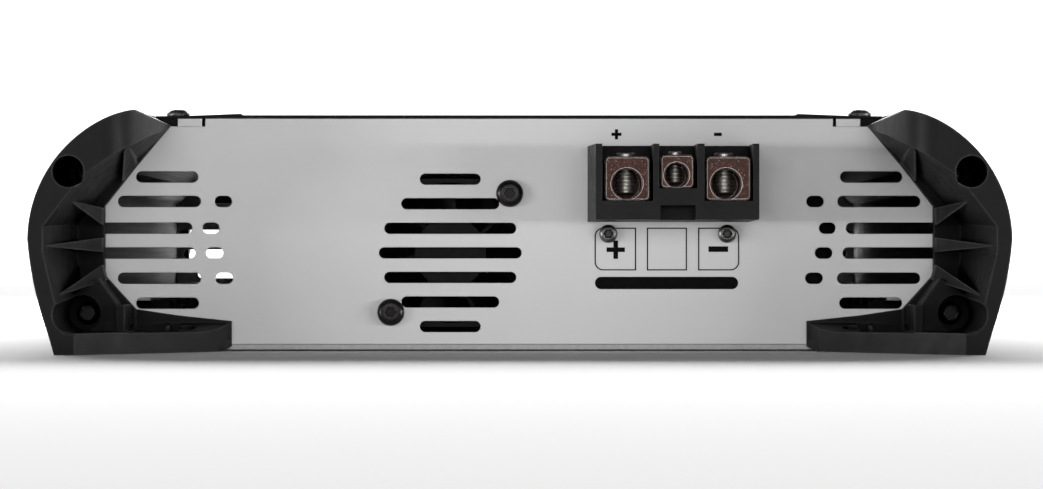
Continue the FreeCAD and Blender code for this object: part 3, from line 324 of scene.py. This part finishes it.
MATERIALS = {
    "guard": guard_plastic(),
    "base": drawn_aluminium("base_sheet", (0.30, 0.30, 0.30), (0.40, 0.40, 0.40), 0.40),
    "panel": panel_paint(),
    "heat_sink": drawn_aluminium("sink_aluminium", (0.020, 0.020, 0.021), (0.20, 0.20, 0.21), 0.46),
    "cover": cover_paint(),
    # the paler colours given below for the edges of the screw heads are painted highlights
    "dark_screw": steel("black_oxide", (0.006, 0.0055, 0.0055), (0.030, 0.026, 0.027), 0.24, 0.7,
                        rim_highlight=(0.18, 0.15, 0.16)),
    "bright_screw": steel("zinc_plate", (0.60, 0.58, 0.54), (0.92, 0.90, 0.86), 0.38, depth=0.0007),
    "plain_screw": steel("plain_steel", (0.07, 0.07, 0.07), (0.26, 0.26, 0.25), 0.30, rim_highlight=(0.80, 0.80, 0.78)),
    "fan_plastic": moulded_black("fan_moulding", 0.0030, 0.40),
    "bronze": steel("sintered_bronze", (0.30, 0.17, 0.07), (0.52, 0.33, 0.16), 0.40),
    "copper": enamelled_wire(),
    "terminal_plastic": moulded_black("terminal_moulding", 0.0085, 0.38),
    "clamp_metal": terminal_brass(),
    "board": solder_mask(),
    "capacitor": capacitor_can(),
    "core": ferrite(),
    "package": moulded_black("epoxy_package", 0.022, 0.48),
    "socket_metal": steel("plated_socket", (0.62, 0.46, 0.20), (0.86, 0.68, 0.36), 0.16),
    "lens": lens_plastic(),
    "knob": moulded_black("knob_moulding", 0.024, 0.44),
    "ink": print_ink(),
}


def dress_cad_nodes():
    for part in frame["record"]["subparts"]:
        node = nodes[part["node"]]
        node.data.materials.clear()
        node.data.materials.append(MATERIALS[part["material_slot"]])


# ---- print on the power end panel --------------------------------------------------
PRINT_PROUD = 0.06 * MM        # face of the ink in front of the panel
PRINT_BACK = 0.01 * MM         # back of the ink, just clear of the panel


def flat_piece(name, outlines):
    """Thin printed film on the power end panel; each outline is a ring of (x, z) points in mm."""
    verts = []
    faces = []
    for ring in outlines:
        start = len(verts)
        count = len(ring)
        for proud in (PRINT_PROUD, PRINT_BACK):
            verts += [(x * MM, POWER_FACE - proud, z * MM) for x, z in ring]
        faces.append([start + i for i in range(count)])
        faces.append([start + count + i for i in reversed(range(count))])
        for i in range(count):
            j = (i + 1) % count
            faces.append([start + j, start + i, start + count + i, start + count + j])
    finish_print(name, verts, faces)


def finish_print(name, verts, faces):
    mesh = bpy.data.meshes.new(name)
    mesh.from_pydata(verts, [], faces)
    mesh.validate()
    mesh.update()
    piece = bpy.data.objects.new(name, mesh)
    bpy.context.scene.collection.objects.link(piece)
    mesh.materials.append(MATERIALS["ink"])
    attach(piece, "chassis")


def rounded_box(x0, x1, z0, z1, radii, steps=8):
    """Points round a box; radii are for the lower left, lower right, upper right and upper left."""
    corners = [(x0, z0, 180), (x1, z0, 270), (x1, z1, 0), (x0, z1, 90)]
    points = []
    for (x, z, turn), r in zip(corners, radii):
        cx = x + (r if x == x0 else -r)
        cz = z + (r if z == z0 else -r)
        for i in range(steps + 1 if r else 1):
            angle = math.radians(turn + 90.0 * i / steps)
            points.append((cx + r * math.cos(angle), cz + r * math.sin(angle)))
    return points


def outline_piece(name, outer, inner):
    """A printed line: the strip between two rings with the same number of points."""
    count = len(outer)
    verts = []
    for proud in (PRINT_PROUD, PRINT_BACK):
        verts += [(x * MM, POWER_FACE - proud, z * MM) for x, z in outer + inner]
    faces = []
    for i in range(count):
        j = (i + 1) % count
        deep = 2 * count
        faces.append([i, j, count + j, count + i])
        faces.append([deep + i, deep + count + i, deep + count + j, deep + j])
        faces.append([j, i, deep + i, deep + j])
        faces.append([count + i, count + j, deep + count + j, deep + count + i])
    finish_print(name, verts, faces)


def plus_sign(x, z, size, stroke):
    h = size / 2
    t = stroke / 2
    return [(x - h, z - t), (x - t, z - t), (x - t, z - h), (x + t, z - h), (x + t, z - t), (x + h, z - t),
            (x + h, z + t), (x + t, z + t), (x + t, z + h), (x - t, z + h), (x - t, z + t), (x - h, z + t)]


def panel_print():
    """Outlined boxes under the terminals, signs above and in them, and a solid bar."""
    line = 0.33
    z0, z1 = 21.7, 33.25
    boxes = {"print_positive_box": (20.3, 31.5, (2.3, 0, 0, 2.3)),
             "print_remote_box": (34.4, 45.2, (0, 0, 0, 0)),
             "print_negative_box": (48.2, 59.3, (0, 2.3, 2.3, 0))}
    for name, (x0, x1, radii) in boxes.items():
        outer = rounded_box(x0, x1, z0, z1, radii)
        inner = rounded_box(x0 + line, x1 - line, z0 + line, z1 - line, [max(r - line, 0) for r in radii])
        outline_piece(name, outer, inner)
    flat_piece("print_positive_sign", [plus_sign(26.0, 27.3, 4.95, 1.25)])
    flat_piece("print_negative_sign", [rounded_box(51.0, 56.3, 26.7, 28.2, (0, 0, 0, 0))])
    flat_piece("print_small_plus", [plus_sign(26.2, 58.4, 2.7, 0.85)])
    flat_piece("print_small_minus", [rounded_box(52.5, 54.6, 57.95, 58.85, (0, 0, 0, 0))])
    flat_piece("print_bar", [rounded_box(20.4, 59.0, 16.65, 20.0, (1.67,) * 4)])


# ---- stage, lights and camera ------------------------------------------------------
WHITE = (1.0, 1.0, 1.0, 1.0)
EYE_X = -5.2 * MM
EYE_Z = 25.3 * MM
EYE_BACK = 1050.0 * MM         # camera in front of the power end panel
VIEW_WIDTH = 281.1 * MM        # how much of that panel's plane the picture is wide
SENSOR_WIDTH = 36.0


def emitter(name, place, target, width, height, power):
    light = bpy.data.lights.new(name, "AREA")
    light.shape = "RECTANGLE"
    light.size = width
    light.size_y = height
    light.energy = power
    lamp = bpy.data.objects.new(name, light)
    lamp.location = place
    lamp.rotation_euler = (Vector(target) - Vector(place)).to_track_quat("-Z", "Y").to_euler()
    bpy.context.scene.collection.objects.link(lamp)


def stage_plane(name, place, turn, width, height, **sockets):
    """A plain part of the studio with a very slightly mottled surface; returns its shader."""
    bpy.ops.mesh.primitive_plane_add(size=1.0, location=place, rotation=turn)
    sheet = bpy.context.object
    sheet.name = name
    sheet.scale = (width, height, 1.0)
    s = Shader(name + "_paint", Specular_IOR_Level=0.0, **sockets)
    s.colour(s.ramp(s.noise(3.0), (0.3, (0.90, 0.90, 0.90)), (0.7, (0.92, 0.92, 0.92))))
    s.roughness(s.ramp(s.noise(5.0), (0.3, 0.9), (0.7, 0.95)))
    sheet.data.materials.append(s.material)
    return s


def studio():
    """White floor, a lit sweep far behind, a low key light behind, soft light in front and beside."""
    upright = (math.radians(90.0), 0.0, 0.0)
    lit = {"Emission_Color": WHITE, "Emission_Strength": 0.9}
    apron = stage_plane("studio_apron", (0.0, -1.0, 0.0), (0.0, 0.0, 0.0), 6.0, 1.6,
                        Emission_Color=WHITE)
    towards_object = apron.math("ADD", apron.axis("place", "Y"), 0.5)
    glow = apron.ramp(towards_object, (0.86, 0.30), (0.99, 0.0))
    apron.link(glow, apron.surface.inputs["Emission Strength"])
    stage_plane("studio_floor", (0.0, 0.025, 0.0), (0.0, 0.0, 0.0), 6.0, 0.45)
    stage_plane("studio_sweep", (0.0, 2.375, 0.0), (0.0, 0.0, 0.0), 8.0, 4.25, **lit)
    stage_plane("studio_backdrop", (0.0, 4.5, 0.5), upright, 8.0, 1.0, **lit)
    world = bpy.data.worlds.new("studio_world")
    bpy.context.scene.world = world
    world.use_nodes = True
    background = world.node_tree.nodes["Background"]
    background.inputs["Color"].default_value = WHITE
    background.inputs["Strength"].default_value = 0.035
    emitter("key_behind", (0.0, 1.0, 0.62), (0.0, -0.2, 0.0), 2.2, 0.35, 52.0)
    emitter("front_soft", (0.0, -2.2, 0.36), (0.0, -0.14, 0.03), 1.8, 0.5, 10.5)
    emitter("left_soft", (-1.2, -0.62, 0.045), (0.0, -0.14, 0.03), 0.8, 0.07, 15.0)
    emitter("right_soft", (1.2, -0.62, 0.045), (0.0, -0.14, 0.03), 0.8, 0.07, 15.0)
    bpy.context.scene.view_settings.view_transform = "Standard"


def camera():
    """Square on to the power end, at mid height of the object and a little left of its centre."""
    eye = Vector((EYE_X, POWER_FACE - EYE_BACK, EYE_Z))
    aim = Vector((0.6 * MM, POWER_FACE, 28.7 * MM))
    lens = bpy.data.cameras.new("view")
    lens.sensor_width = SENSOR_WIDTH
    lens.lens = SENSOR_WIDTH * EYE_BACK / VIEW_WIDTH
    cam = bpy.data.objects.new("view", lens)
    cam.location = eye
    cam.rotation_euler = (aim - eye).to_track_quat("-Z", "Y").to_euler()
    bpy.context.scene.collection.objects.link(cam)
    bpy.context.scene.camera = cam


dress_cad_nodes()
panel_print()
studio()
camera()
